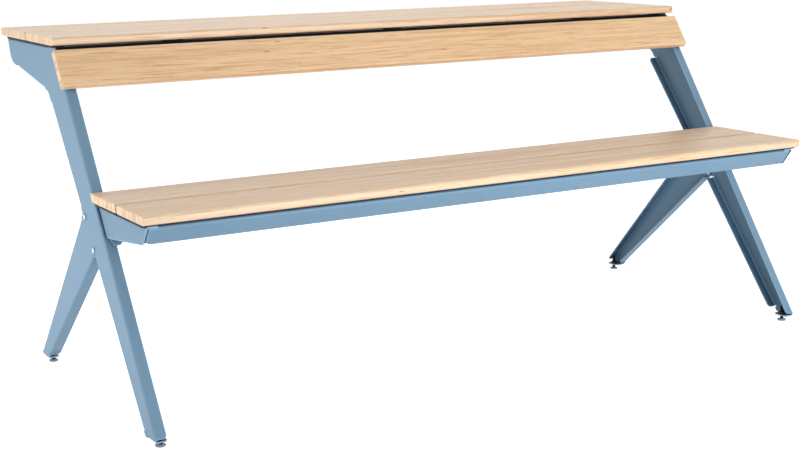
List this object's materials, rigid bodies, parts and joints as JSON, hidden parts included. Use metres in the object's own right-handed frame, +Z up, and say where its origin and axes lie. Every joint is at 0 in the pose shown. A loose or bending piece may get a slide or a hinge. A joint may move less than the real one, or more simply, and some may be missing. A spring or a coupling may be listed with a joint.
{
  "type": "convertible picnic table bench",
  "caption": "Outdoor bench of folded blue sheet-steel end frames and pale wood planks, with a leaning backrest plank and a tabletop behind it for use from the other side.",
  "frame": {"origin": "on the floor, under the centre of the bench's footprint", "axes": "+X along the bench (to the sitter's left when seated, facing -Y), +Y from the seat to the table, +Z up"},
  "size_m": [1.686, 0.8468, 0.75],
  "materials": {
    "powder_coat": "fine satin powder coat, pale blue",
    "rail_coat": "dark satin powder coat",
    "planks": "pale oiled bamboo laminate, fine straight grain along the plank",
    "backrest_wood": "the same bamboo laminate in a warmer tone",
    "dark_pads": "matt black rubber",
    "screws": "zinc-plated steel",
    "stainless": "stainless steel",
    "foot_grey": "grey moulded plastic",
    "foot_black": "blackened steel stud"
  },
  "bodies": {
    "bench": {"frame_left": "powder_coat", "frame_right": "powder_coat", "seat_tray": "powder_coat", "cross_beam": "powder_coat", "table_front_rail": "rail_coat", "table_back_rail": "rail_coat", "seat_plank_front": "planks", "seat_plank_rear": "planks", "table_plank_front": "planks", "table_plank_rear": "planks", "backrest_plank": "backrest_wood", "seat_pads": "dark_pads", "table_pads": "dark_pads", "backrest_pads": "dark_pads", "seat_screws": "screws", "table_screws": "screws", "backrest_screws": "screws", "frame_bolts": "stainless", "frame_washers": "stainless", "frame_nuts": "stainless", "tray_bolts": "stainless", "tray_nuts": "stainless", "foot_nuts": "stainless"},
    "foot_front_left": {"foot_pad_front_left": "foot_grey", "foot_stud_front_left": "foot_black"},
    "foot_front_right": {"foot_pad_front_right": "foot_grey", "foot_stud_front_right": "foot_black"},
    "foot_rear_left": {"foot_pad_rear_left": "foot_grey", "foot_stud_rear_left": "foot_black"},
    "foot_rear_right": {"foot_pad_rear_right": "foot_grey", "foot_stud_rear_right": "foot_black"}
  },
  "joints": [
    {"name": "level_front_left", "type": "slide", "parent": "bench", "child": "foot_front_left", "axis": [0, 0, -1], "range_m": [0, 0.012]},
    {"name": "level_front_right", "type": "slide", "parent": "bench", "child": "foot_front_right", "axis": [0, 0, -1], "range_m": [0, 0.012]},
    {"name": "level_rear_left", "type": "slide", "parent": "bench", "child": "foot_rear_left", "axis": [0, 0, -1], "range_m": [0, 0.012]},
    {"name": "level_rear_right", "type": "slide", "parent": "bench", "child": "foot_rear_right", "axis": [0, 0, -1], "range_m": [0, 0.012]}
  ]
}
